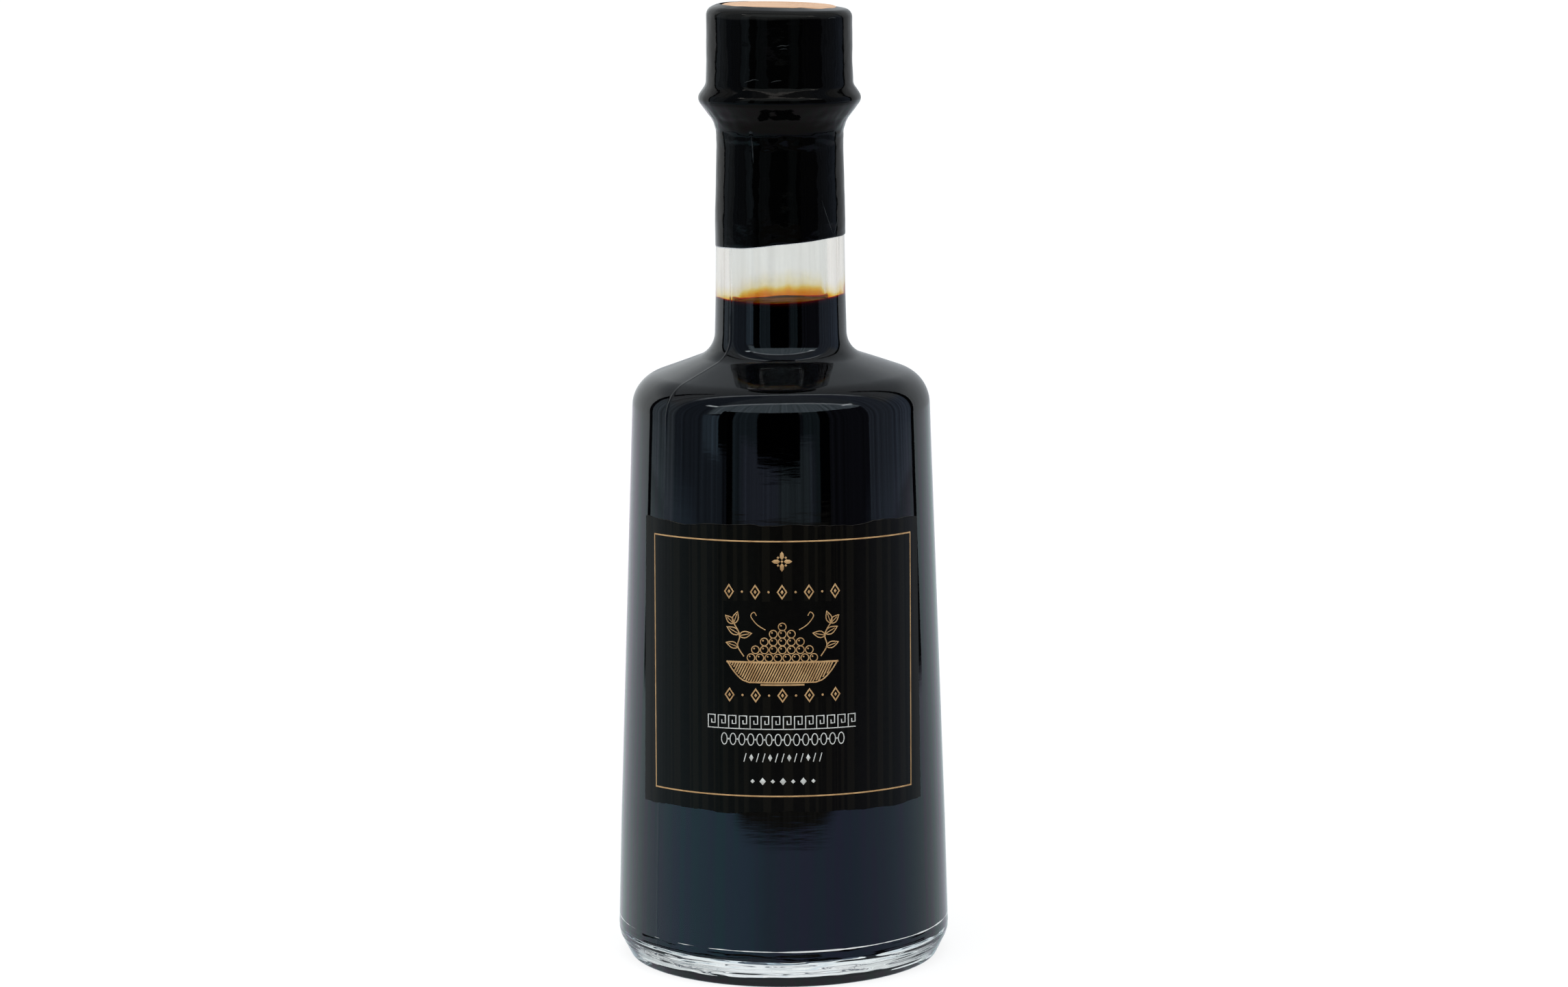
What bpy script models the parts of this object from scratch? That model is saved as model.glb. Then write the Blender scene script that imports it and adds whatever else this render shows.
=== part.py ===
"""A vinegar bottle: clear glass, slightly conical, filled with dark vinegar up into its neck.

A wooden stopper closes it, a shrink capsule covers stopper and neck, and a paper label wraps the front.
Units are metres, +Z is up, the bottle stands on z = 0 and its label faces -Y.
"""

from math import asin, atan2, ceil, cos, hypot, pi, radians, sin, tan

import bmesh
import bpy
from mathutils import Vector

MM = 0.001

# Driving sizes
HEIGHT = 188.0 * MM
HEEL_RADIUS = 32.7 * MM
WAIST_RADIUS = 32.1 * MM
SHOULDER_RADIUS = 28.95 * MM
NECK_RADIUS = 12.7 * MM
FOOT_RADIUS = 29.6 * MM
WALL = 3.3 * MM
FIT = 0.25 * MM  # the gap between pieces that touch

# Heights up the bottle
HEEL_HEIGHT = 4.8 * MM
WAIST_HEIGHT = 27.0 * MM
SHOULDER_HEIGHT = 114.9 * MM
NECK_ROOT_HEIGHT = 120.7 * MM
NECK_MIDDLE_HEIGHT = 145.0 * MM
NECK_TOP_HEIGHT = 165.0 * MM
VINEGAR_HEIGHT = 131.4 * MM
MOUTH_HEIGHT = 171.2 * MM

# Glass details
HEEL_ROUNDING = 5.0 * MM
SHOULDER_ROUNDING = 7.1 * MM
NECK_ROOT_ROUNDING = 5.1 * MM
NECK_ROOT_RADIUS = 12.93 * MM
NECK_TOP_RADIUS = 12.1 * MM
NECK_TOP_ROUNDING = 2.0 * MM
BORE_RADIUS = 9.7 * MM
LIP_RADIUS = 15.25 * MM
LIP_LOW = 169.4 * MM
LIP_CHAMFER = 0.9 * MM
LIP_ROUNDING = 0.8 * MM
BEARING_WIDTH = 2.6 * MM  # the flat ring that the bottle stands on
PUNT_DEPTH = 2.4 * MM
PUNT_RADIUS = 21.8 * MM
BASE_THICKNESS = 6.5 * MM
FLOOR_CROWN = 1.2 * MM  # the inside floor rises by this over the punt
FLOOR_CROWN_RADIUS = 18.0 * MM
CAVITY_HEEL_ROUNDING = 5.0 * MM
CAVITY_SHOULDER_DROP = 2.5 * MM  # the cavity's shoulder lies this far below the outer one

# Stopper
STOPPER_EDGE = 0.8 * MM  # the easing of its small edges
HEAD_RADIUS = 13.7 * MM
HEAD_TOP = HEIGHT - 0.5 * MM
HEAD_EDGE = 1.7 * MM
SHANK_LENGTH = 22.0 * MM
SHANK_TAPER = 8.8 * MM
SHANK_TIP_RADIUS = 9.0 * MM
HEAD_LEAN = radians(1.3)  # the head sits a little lower on the right

# Shrink capsule
FILM = 0.25 * MM
HEAD_ROOT_ROUNDING = 1.2 * MM
TIGHTEST_FOLD = 0.3 * MM
HOLE_RADIUS = 11.1 * MM
HOLE_OFFSET = -0.9 * MM
HEAD_TO_LIP = 1.9 * MM  # the height over which the film slopes in from the lip to the head
CUFF_HEIGHT = 142.4 * MM
CUFF_SLANT = 1.25 * MM  # the cut edge rises this far above its middle on the right

# Label, measured flat before it is wrapped round the cone
LABEL_WIDTH = 63.3 * MM
LABEL_LOW = 34.8 * MM
LABEL_HIGH = 90.6 * MM
LABEL_THICKNESS = 0.3 * MM
DECKLE = 0.42 * MM  # how far the torn top and bottom edges wander
LOW_EDGE_SHIFT = 1.0  # where along the waves each edge starts, in radians
HIGH_EDGE_SHIFT = 2.6

# Fineness
SEGMENTS = 48
LABEL_COLUMNS = 42
LABEL_ROWS = 6
ARC_STEP = radians(24)
SMOOTH_ANGLE = radians(35)


def clear_scene():
    for old in list(bpy.data.objects):
        bpy.data.objects.remove(old)


def make_material(name, colour, roughness, metallic=0.0, transmission=0.0):
    material = bpy.data.materials.new(name)
    material.use_nodes = True
    shader = material.node_tree.nodes["Principled BSDF"]
    shader.inputs["Base Color"].default_value = (*colour, 1.0)
    shader.inputs["Roughness"].default_value = roughness
    shader.inputs["Metallic"].default_value = metallic
    shader.inputs["Transmission Weight"].default_value = transmission
    return material


def add_object(name, mesh_builder, material):
    """Links the bmesh as an object of its own, shaded smooth except at its true edges."""
    mesh = bpy.data.meshes.new(name)
    bmesh.ops.recalc_face_normals(mesh_builder, faces=mesh_builder.faces)
    mesh_builder.to_mesh(mesh)
    mesh_builder.free()
    mesh.shade_smooth()
    mesh.set_sharp_from_angle(angle=SMOOTH_ANGLE)
    mesh.materials.append(material)
    made = bpy.data.objects.new(name, mesh)
    bpy.context.scene.collection.objects.link(made)
    return made


def rounded_outline(corners):
    """Points along an outline of (radius, height, rounding) corners, each rounding drawn as an arc."""
    outline = [corners[0][:2]]
    for before, corner, after in zip(corners, corners[1:], corners[2:]):
        here = Vector(corner[:2])
        back = Vector(before[:2]) - here
        ahead = Vector(after[:2]) - here
        if corner[2] <= 0.0:
            outline.append(tuple(here))
            continue
        back_way, ahead_way = back.normalized(), ahead.normalized()
        half_angle = back_way.angle(ahead_way) / 2
        reach = min(corner[2] / tan(half_angle), 0.49 * back.length, 0.49 * ahead.length)
        radius = reach * tan(half_angle)
        centre = here + (back_way + ahead_way).normalized() * (radius / sin(half_angle))
        start = here + back_way * reach - centre
        end = here + ahead_way * reach - centre
        start_angle = atan2(start.y, start.x)
        turn = (atan2(end.y, end.x) - start_angle + pi) % (2 * pi) - pi
        steps = max(1, ceil(abs(turn) / ARC_STEP))
        for step in range(steps + 1):
            angle = start_angle + turn * step / steps
            outline.append((centre.x + radius * cos(angle), centre.y + radius * sin(angle)))
    outline.append(corners[-1][:2])
    return outline


def turn_outline(outline, closed_loop):
    """Spins an outline round the Z axis. A loop clear of the axis is closed; others end on the axis."""
    turned = bmesh.new()
    points = [turned.verts.new((radius, 0.0, height)) for radius, height in outline]
    edges = [turned.edges.new(pair) for pair in zip(points, points[1:])]
    if closed_loop:
        edges.append(turned.edges.new((points[-1], points[0])))
    bmesh.ops.spin(
        turned,
        geom=points + edges,
        cent=(0, 0, 0),
        axis=(0, 0, 1),
        angle=2 * pi,
        steps=SEGMENTS,
        use_merge=True,
    )
    bmesh.ops.remove_doubles(turned, verts=turned.verts, dist=0.001 * MM)
    return turned


def lean_head(turned):
    """Tips what lies above the mouth towards +X, more towards the top."""
    for point in turned.verts:
        share = max(0.0, (point.co.z - MOUTH_HEIGHT) / (HEIGHT - MOUTH_HEIGHT))
        point.co.z -= point.co.x * tan(HEAD_LEAN) * share


def outer_glass_corners():
    """The outside of the glass, from the middle of its underside round the foot and up to the mouth."""
    return [
        (0.0, PUNT_DEPTH, 0.0),
        (PUNT_RADIUS, PUNT_DEPTH, PUNT_DEPTH),
        (FOOT_RADIUS - BEARING_WIDTH, 0.0, 0.0),
        (FOOT_RADIUS, 0.0, 0.0),
        (HEEL_RADIUS, HEEL_HEIGHT, HEEL_ROUNDING),
        (WAIST_RADIUS, WAIST_HEIGHT, 0.0),
        (SHOULDER_RADIUS, SHOULDER_HEIGHT, SHOULDER_ROUNDING),
        (NECK_ROOT_RADIUS, NECK_ROOT_HEIGHT, NECK_ROOT_ROUNDING),
        (NECK_RADIUS, NECK_MIDDLE_HEIGHT, 0.0),
        (NECK_TOP_RADIUS, NECK_TOP_HEIGHT, NECK_TOP_ROUNDING),
        (LIP_RADIUS, LIP_LOW, LIP_ROUNDING),
        (LIP_RADIUS, MOUTH_HEIGHT - LIP_CHAMFER, 0.5 * LIP_ROUNDING),
        (LIP_RADIUS - 0.8 * LIP_CHAMFER, MOUTH_HEIGHT, 0.0),
    ]


def cavity_corners(gap):
    """The inside of the glass from the middle of its base up to the neck, drawn in by a gap."""
    base = BASE_THICKNESS + gap
    return [
        (0.0, base + FLOOR_CROWN, 0.0),
        (FLOOR_CROWN_RADIUS, base + 0.6 * FLOOR_CROWN, 0.0),
        (HEEL_RADIUS - WALL - gap, base, CAVITY_HEEL_ROUNDING),
        (WAIST_RADIUS - WALL - gap, WAIST_HEIGHT, 0.0),
        (SHOULDER_RADIUS - WALL - gap, SHOULDER_HEIGHT - CAVITY_SHOULDER_DROP, SHOULDER_ROUNDING - WALL / 2),
        (BORE_RADIUS - gap, NECK_ROOT_HEIGHT - CAVITY_SHOULDER_DROP, NECK_ROOT_ROUNDING),
    ]


def make_glass():
    """One piece of glass: foot, heel, conical body, shoulder, neck and lip, open at its mouth."""
    clear_glass = make_material("clear_glass", (0.93, 0.96, 0.95), 0.03, transmission=1.0)
    inside = rounded_outline([*cavity_corners(0.0), (BORE_RADIUS, MOUTH_HEIGHT, 0.0)])
    outside = rounded_outline([*outer_glass_corners(), (BORE_RADIUS, MOUTH_HEIGHT, 0.0)])
    turned = turn_outline([*outside, *inside[-2::-1]], closed_loop=False)
    return add_object("glass_bottle", turned, clear_glass)


def make_vinegar():
    dark_vinegar = make_material("dark_vinegar", (0.012, 0.006, 0.004), 0.05)
    level = (BORE_RADIUS - FIT, VINEGAR_HEIGHT, 0.0)
    outline = rounded_outline([*cavity_corners(FIT), level, (0.0, VINEGAR_HEIGHT, 0.0)])
    return add_object("vinegar", turn_outline(outline, closed_loop=False), dark_vinegar)


def make_stopper():
    """A turned wooden stopper: a broad head on the lip and a shank down the bore."""
    light_wood = make_material("light_wood", (0.78, 0.55, 0.34), 0.6)
    seat = MOUTH_HEIGHT + FIT
    outline = rounded_outline(
        [
            (0.0, MOUTH_HEIGHT - SHANK_LENGTH, 0.0),
            (SHANK_TIP_RADIUS, MOUTH_HEIGHT - SHANK_LENGTH, STOPPER_EDGE),
            (BORE_RADIUS - FIT, MOUTH_HEIGHT - SHANK_LENGTH + SHANK_TAPER, 0.0),
            (BORE_RADIUS - FIT, seat, 0.0),
            (HEAD_RADIUS, seat, STOPPER_EDGE),
            (HEAD_RADIUS, HEAD_TOP, HEAD_EDGE),
            (0.0, HEAD_TOP, 0.0),
        ]
    )
    turned = turn_outline(outline, closed_loop=False)
    lean_head(turned)
    return add_object("stopper", turned, light_wood)


def capsule_corners(lift):
    """The shape under the film, from the top hole down to the cut edge, lifted off evenly."""
    core = [
        (HOLE_RADIUS, HEAD_TOP, 0.0),
        (HEAD_RADIUS, HEAD_TOP, HEAD_EDGE),
        (HEAD_RADIUS, MOUTH_HEIGHT + HEAD_TO_LIP, HEAD_ROOT_ROUNDING),
        (LIP_RADIUS, MOUTH_HEIGHT - LIP_CHAMFER, 0.5 * LIP_ROUNDING),
        (LIP_RADIUS, LIP_LOW, LIP_ROUNDING),
        (NECK_TOP_RADIUS, NECK_TOP_HEIGHT, NECK_TOP_ROUNDING),
        (NECK_RADIUS, NECK_MIDDLE_HEIGHT, 0.0),
        (NECK_RADIUS, CUFF_HEIGHT, 0.0),
    ]
    flat = [Vector(corner[:2]) for corner in core]
    runs = [(after - before).normalized() for before, after in zip(flat, flat[1:])]
    ways = [Vector((-run.y, run.x)) for run in runs]
    lifted = []
    for i, corner in enumerate(core):
        first, second = ways[max(i - 1, 0)], ways[min(i, len(ways) - 1)]
        moved = flat[i] + (first + second) * (lift / (1.0 + first.dot(second)))
        turning = first.x * second.y - first.y * second.x
        rounding = corner[2] - lift if turning > 0.0 else corner[2] + lift
        lifted.append((moved.x, moved.y, max(rounding, TIGHTEST_FOLD) if corner[2] > 0.0 else 0.0))
    return lifted


def make_capsule():
    """A shrunk black sleeve over stopper, lip and neck, with a hole on top and a slanted cut below."""
    black_film = make_material("black_film", (0.012, 0.012, 0.013), 0.22)
    hole_edge = HOLE_RADIUS + 0.5 * FILM
    outside = rounded_outline(capsule_corners(FIT + FILM))
    inside = rounded_outline(capsule_corners(FIT))
    turned = turn_outline([*outside, *inside[::-1]], closed_loop=True)
    lean_head(turned)
    for point in turned.verts:
        radius = hypot(point.co.x, point.co.y)
        if point.co.z > HEAD_TOP - HEAD_EDGE and radius < hole_edge:
            point.co.x += HOLE_OFFSET
        elif point.co.z < 0.5 * (CUFF_HEIGHT + NECK_MIDDLE_HEIGHT):
            point.co.z += CUFF_SLANT * point.co.x / radius
    return add_object("capsule", turned, black_film)


def deckle(across, shift):
    """The wander of a torn paper edge: slow waves with a quick one over them."""
    wave = 2 * pi * across / LABEL_WIDTH
    slow = 0.5 * sin(2.1 * wave + shift) + 0.35 * sin(3.7 * wave + 2.3 * shift)
    return DECKLE * (slow + 0.25 * sin(7.3 * wave))


def wrap_on_cone(across, up):
    """A point of the flat label, rolled onto the body's cone with the usual gap under it."""
    slope = (WAIST_RADIUS - SHOULDER_RADIUS) / (SHOULDER_HEIGHT - WAIST_HEIGHT)
    slant = hypot(1.0, slope)
    apex_height = SHOULDER_HEIGHT + SHOULDER_RADIUS / slope
    reach = hypot((apex_height - up) * slant, across)
    turn = asin(across / reach) * slant / slope
    radius = reach * slope / slant + FIT
    return Vector((radius * sin(turn), -radius * cos(turn), apex_height - reach / slant))


def make_label():
    """A black paper label with torn top and bottom edges, as a thin curved solid."""
    black_paper = make_material("black_paper", (0.016, 0.014, 0.012), 0.55)
    sheet = bmesh.new()
    lines = []
    for row in range(LABEL_ROWS + 1):
        line = []
        for column in range(LABEL_COLUMNS + 1):
            across = LABEL_WIDTH * (column / LABEL_COLUMNS - 0.5)
            low = LABEL_LOW + deckle(across, LOW_EDGE_SHIFT)
            high = LABEL_HIGH + deckle(across, HIGH_EDGE_SHIFT)
            line.append(sheet.verts.new(wrap_on_cone(across, low + (high - low) * row / LABEL_ROWS)))
        lines.append(line)
    for lower, upper in zip(lines, lines[1:]):
        for i in range(LABEL_COLUMNS):
            sheet.faces.new((lower[i], lower[i + 1], upper[i + 1], upper[i]))
    label = add_object("front_label", sheet, black_paper)
    paper = label.modifiers.new("paper", "SOLIDIFY")
    paper.thickness = LABEL_THICKNESS
    paper.offset = 1.0


def build():
    clear_scene()
    make_glass()
    make_vinegar()
    make_stopper()
    make_capsule()
    make_label()


build()
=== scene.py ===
from bisect import bisect
from math import asin, atan2, ceil, cos, exp, hypot, pi, radians, sin, tan
from random import Random

import bmesh
import bpy
import numpy as np
from mathutils import Matrix, Vector, noise


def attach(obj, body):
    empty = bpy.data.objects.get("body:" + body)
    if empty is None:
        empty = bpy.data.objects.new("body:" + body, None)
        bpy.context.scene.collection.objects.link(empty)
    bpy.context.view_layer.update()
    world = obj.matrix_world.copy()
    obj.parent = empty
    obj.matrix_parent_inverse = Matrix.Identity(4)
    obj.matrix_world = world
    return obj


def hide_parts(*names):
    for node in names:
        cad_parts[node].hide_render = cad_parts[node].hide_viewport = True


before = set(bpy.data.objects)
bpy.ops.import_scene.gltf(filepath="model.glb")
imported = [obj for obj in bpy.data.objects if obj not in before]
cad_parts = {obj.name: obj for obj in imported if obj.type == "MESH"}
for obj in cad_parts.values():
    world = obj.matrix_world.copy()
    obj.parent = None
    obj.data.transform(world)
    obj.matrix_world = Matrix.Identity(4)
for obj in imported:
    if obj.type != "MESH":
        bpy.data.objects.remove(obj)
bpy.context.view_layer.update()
print("frame loaded")

mm = 0.001


# shape helpers: every turned piece starts from (radius, height, rounding) corners

def roundedOutline(corners, arcStep=radians(5)):
    outline = [Vector(corners[0][:2])]
    for before, corner, after in zip(corners, corners[1:], corners[2:]):
        here = Vector(corner[:2])
        back = Vector(before[:2]) - here
        ahead = Vector(after[:2]) - here
        if corner[2] <= 0:
            outline.append(here)
            continue
        backWay, aheadWay = back.normalized(), ahead.normalized()
        halfAngle = backWay.angle(aheadWay) / 2
        reach = min(corner[2] / tan(halfAngle), 0.49 * back.length, 0.49 * ahead.length)
        radius = reach * tan(halfAngle)
        centre = here + (backWay + aheadWay).normalized() * (radius / sin(halfAngle))
        start = here + backWay * reach - centre
        end = here + aheadWay * reach - centre
        startAngle = atan2(start.y, start.x)
        turn = (atan2(end.y, end.x) - startAngle + pi) % (2 * pi) - pi
        steps = max(2, ceil(abs(turn) / arcStep), ceil(abs(turn) * radius / (0.35 * mm)))
        for step in range(steps + 1):
            angle = startAngle + turn * step / steps
            outline.append(centre + Vector((cos(angle), sin(angle))) * radius)
    outline.append(Vector(corners[-1][:2]))
    return outline


def evenOutline(outline, longestRun):  # splits long runs, so that ripples have points to move
    even = [outline[0]]
    for start, end in zip(outline, outline[1:]):
        steps = max(1, ceil((end - start).length / longestRun))
        even += [start.lerp(end, step / steps) for step in range(1, steps + 1)]
    return even


def offsetOutline(outline, distance):  # moves an outline sideways, outwards where it runs up the outside
    moved = []
    for i, point in enumerate(outline):
        run = outline[min(i + 1, len(outline) - 1)] - outline[max(i - 1, 0)]
        moved.append(point + Vector((run.y, -run.x)).normalized() * distance)
    return moved


def addObject(name, data):
    thing = bpy.data.objects.new(name, data)
    bpy.context.scene.collection.objects.link(thing)
    return thing


def addPiece(name, points, faces, materials, smoothAngle=40):
    mesh = bpy.data.meshes.new(name)
    mesh.from_pydata(points, [], faces)
    mesh.validate()
    mesh.shade_smooth()
    mesh.set_sharp_from_angle(angle=radians(smoothAngle))
    for material in materials:
        mesh.materials.append(material)
    return addObject(name, mesh)


def turnPiece(name, outline, materials, segments, closed=False, reshape=None, smoothAngle=40, extraTurns=()):
    points, rings, faces = [], [], []
    turns = [2 * pi * step / segments for step in range(segments)]
    turns = sorted(turns + [turn % (2 * pi) for turn in extraTurns])
    segments = len(turns)
    for radius, height in outline:
        if radius < 0.001 * mm:  # the outline meets the axis: one shared point
            rings.append([len(points)] * segments)
            points.append(Vector((0, 0, height)))
            continue
        rings.append(list(range(len(points), len(points) + segments)))
        points += [Vector((radius * sin(turn), -radius * cos(turn), height)) for turn in turns]
    if closed:
        rings.append(rings[0])
    for low, high in zip(rings, rings[1:]):
        for i in range(segments):
            j = (i + 1) % segments
            face = list(dict.fromkeys((low[i], low[j], high[j], high[i])))
            if len(face) > 2:
                faces.append(face)
    if reshape:
        points = [reshape(point) for point in points]
    return addPiece(name, points, faces, materials, smoothAngle)


def azimuthOf(point):  # 0 at the front, positive towards the right
    return atan2(point.x, -point.y)


def bump(distance, width):  # 1 at the middle, 0 a width away
    return exp(-((distance / width) ** 2))


def turnBetween(first, second):
    return abs((first - second + pi) % (2 * pi) - pi)


def splinePoint(a, b, c, d, t):
    return 0.5 * (2 * b + (c - a) * t + (2 * a - 5 * b + 4 * c - d) * t**2 + (3 * b - a - 3 * c + d) * t**3)


def curveThrough(places, steps=6):  # a smooth line through a few flat places
    ends = [places[0], *places, places[-1]]
    line = []
    for four in zip(ends, ends[1:], ends[2:], ends[3:]):
        for step in range(steps):
            line.append(tuple(splinePoint(*axis, step / steps) for axis in zip(*four)))
    return [*line, places[-1]]


# material helpers

def newMaterial(name):
    material = bpy.data.materials.new(name)
    material.use_nodes = True
    return material, material.node_tree, material.node_tree.nodes["Principled BSDF"]


class Signal:  # what a socket gives, in a form that sums can be written with
    def __init__(self, socket):
        self.socket = socket
        self.tree = socket.id_data

    def __add__(self, other):
        return calc("ADD", self, other)

    def __sub__(self, other):
        return calc("SUBTRACT", self, other)

    def __rsub__(self, other):
        return calc("SUBTRACT", other, self)

    def __mul__(self, other):
        return calc("MULTIPLY", self, other)

    def __truediv__(self, other):
        return calc("DIVIDE", self, other)

    def __pow__(self, other):
        return calc("POWER", self, other)

    def __abs__(self):
        return calc("ABSOLUTE", self)


def fillIn(node, values):  # a signal is linked, anything else is set
    for name, value in values.items():
        if isinstance(value, Signal):
            node.id_data.links.new(value.socket, node.inputs[name])
        else:
            node.inputs[name].default_value = value


def addNode(tree, kind, values, **settings):
    node = tree.nodes.new(kind)
    for setting, value in settings.items():
        setattr(node, setting, value)
    fillIn(node, values)
    return node


def derive(kind, values, output=0, **settings):  # adds a node where its first signal comes from
    tree = next(value.tree for value in values.values() if isinstance(value, Signal))
    return Signal(addNode(tree, kind, values, **settings).outputs[output])


def calc(operation, *values):
    return derive("ShaderNodeMath", dict(enumerate(values)), operation=operation)


def vectorCalc(operation, values):
    return derive("ShaderNodeVectorMath", values, operation=operation)


def ramp(value, start, end, low=0.0, high=1.0, kind="SMOOTHSTEP"):
    values = {"Value": value, "From Min": start, "From Max": end, "To Min": low, "To Max": high}
    return derive("ShaderNodeMapRange", values, interpolation_type=kind)


def blend(share, under, over, kind="MIX"):
    return derive("ShaderNodeMix", {0: share, 6: under, 7: over}, 2, data_type="RGBA", blend_type=kind)


def cloud(place, scale, detail=2.0, dimensions="3D"):
    values = {"W" if dimensions == "1D" else "Vector": place, "Scale": scale, "Detail": detail}
    return derive("ShaderNodeTexNoise", values, noise_dimensions=dimensions)


def placeOn(tree, kind="Object"):
    return Signal(addNode(tree, "ShaderNodeTexCoord", {}).outputs[kind])


def axesOf(vector):
    node = addNode(vector.tree, "ShaderNodeSeparateXYZ", {0: vector})
    return [Signal(socket) for socket in node.outputs]


def newGroup(name, inputs, output, outputKind):
    group = bpy.data.node_groups.new(name, "ShaderNodeTree")
    for label, value in inputs.items():
        kind = {3: "Vector", 4: "Color"}[len(value)] if isinstance(value, tuple) else "Float"
        socket = group.interface.new_socket(label, in_out="INPUT", socket_type="NodeSocket" + kind)
        socket.default_value = value
    group.interface.new_socket(output, in_out="OUTPUT", socket_type="NodeSocket" + outputKind)
    given = {socket.name: Signal(socket) for socket in group.nodes.new("NodeGroupInput").outputs}
    return group, given, group.nodes.new("NodeGroupOutput")


def placeGroup(tree, group, values, **settings):
    return Signal(addNode(tree, "ShaderNodeGroup", values, node_tree=group, **settings).outputs[0])


def makeRippleGroup():  # unevenness of a surface as a normal: broad waves and finer ones, depths in metres
    inputs = {"Size": 60.0, "Stretch": (1.0, 1.0, 1.0), "Depth": 0.00001}
    inputs |= {"Fine Size": 400.0, "Fine Stretch": (1.0, 1.0, 1.0), "Fine Depth": 0.000001}
    group, given, out = newGroup("surfaceRipple", inputs, "Normal", "Vector")
    place = placeOn(group)
    heights = []
    for prefix in ("", "Fine "):
        drawn = vectorCalc("MULTIPLY", {0: place, 1: given[prefix + "Stretch"]})
        heights.append(cloud(drawn, given[prefix + "Size"]) * given[prefix + "Depth"])
    raised = {"Strength": 1.0, "Distance": 1.0, "Height": heights[0] + heights[1]}
    fillIn(out, {"Normal": derive("ShaderNodeBump", raised)})
    return group


def makeToneGroup():  # two colours that drift into each other over the surface
    inputs = {"Dark": (0.1, 0.1, 0.1, 1.0), "Light": (0.5, 0.5, 0.5, 1.0), "Size": 100.0}
    inputs |= {"Stretch": (1.0, 1.0, 1.0), "Middle": 0.5, "Softness": 0.25}
    group, given, out = newGroup("driftingTone", inputs, "Color", "Color")
    drawn = vectorCalc("MULTIPLY", {0: placeOn(group), 1: given["Stretch"]})
    middle, softness = given["Middle"], given["Softness"]
    mask = ramp(cloud(drawn, given["Size"], 5.0), middle - softness, middle + softness)
    fillIn(out, {"Color": blend(mask, given["Dark"], given["Light"])})
    return group


rippleGroup = makeRippleGroup()
toneGroup = makeToneGroup()


def toneOf(tree, dark, light, size, stretch=(1.0, 1.0, 1.0), middle=0.5, softness=0.25):
    values = {"Dark": dark, "Light": light, "Size": size}
    values |= {"Stretch": stretch, "Middle": middle, "Softness": softness}
    return placeGroup(tree, toneGroup, values)


def rippleOf(tree, size, depth, fineSize, fineDepth, stretch=(1.0, 1.0, 1.0), fineStretch=(1.0, 1.0, 1.0)):
    values = {"Size": size, "Depth": depth, "Stretch": stretch}
    values |= {"Fine Size": fineSize, "Fine Depth": fineDepth, "Fine Stretch": fineStretch}
    return placeGroup(tree, rippleGroup, values)


def simpleMaterial(name, values, tone, ripple=None):  # one drifting tone, and an uneven surface if wished
    material, tree, shader = newMaterial(name)
    fillIn(shader, {**values, "Base Color": toneOf(tree, **tone)})
    if ripple:
        fillIn(shader, {"Normal": rippleOf(tree, *ripple)})
    return material


print("helpers and node groups ready")


# the glass bottle

glass = {
    "punt": [(0, 2.4, 0), (21.8, 2.4, 2.4), (26.9, 0.02, 1.2), (30.5, 0.02, 0.8)],
    "body": [
        (32.85, 4.75, 5.6),
        (32.22, 27.0, 40),
        (29.05, 114.9, 7.1),
        (13.02, 120.7, 5.1),
        (12.72, 131.5, 30),
        (12.58, 141.8, 1),
        (12.50, 143.6, 2),
    ],
    "finish": [
        (12.14, 160.6, 20),
        (12.20, 165.1, 6.8),
        (15.98, 169.97, 1.65),
        (14.86, 171.25, 0.3),
        (9.7, 171.2, 0.4),
    ],
    "cavity": [
        (0, 6.0, 0),
        (18, 5.4, 6),
        (29.4, 4.4, 3.2),
        (28.8, 27, 40),
        (25.65, 112.4, 5.5),
        (9.7, 118.2, 5.1),
    ],
    "segments": 204,
    "heelStart": 29.6,  # the radius at which the flat foot ends
    "outsideShare": 0.94,  # anything nearer the middle than this share of the radius is the inside
    "seamTurn": radians(-49.13),  # the mould's parting line, on the left and behind on the right
    "seamHeight": 0.07,
    "heelWave": (1.25, 0.03),  # pitch and depth of the rings round the heel
    "seamWidth": 0.24,
    "shoulderRise": 0.25,  # the right of the shoulder stands a little higher
    "ripple": 0.007,  # how uneven blown glass is, in millimetres
    "innerRipple": 0.03,
    "neckRipple": 0.09,
    "heelRipple": 0.10,
    "tint": (0.775, 0.76, 0.72, 1.0),  # of the outside, once in and out
    "streakTint": (0.665, 0.65, 0.615, 1.0),
    "insideTint": (0.90, 0.935, 0.945, 1.0),
    "ior": 1.5,
}


def millimetres(corners):
    return [tuple(value * mm for value in corner) for corner in corners]


glassOutside = roundedOutline(millimetres([*glass["punt"], *glass["body"], *glass["finish"], (9.7, 166, 0)]))
bodyTop = next(i for i, point in enumerate(glassOutside) if point.y > 160 * mm)
heelStart = glass["heelStart"] * mm
bodyStart = next(i for i, point in enumerate(glassOutside) if point.x > heelStart and point.y > 1 * mm)


def glassRadius(height):  # the outside of the glass at a height between heel and capsule
    span = glassOutside[bodyStart:bodyTop]
    return float(np.interp(height, [point.y for point in span], [point.x for point in span]))


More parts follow.
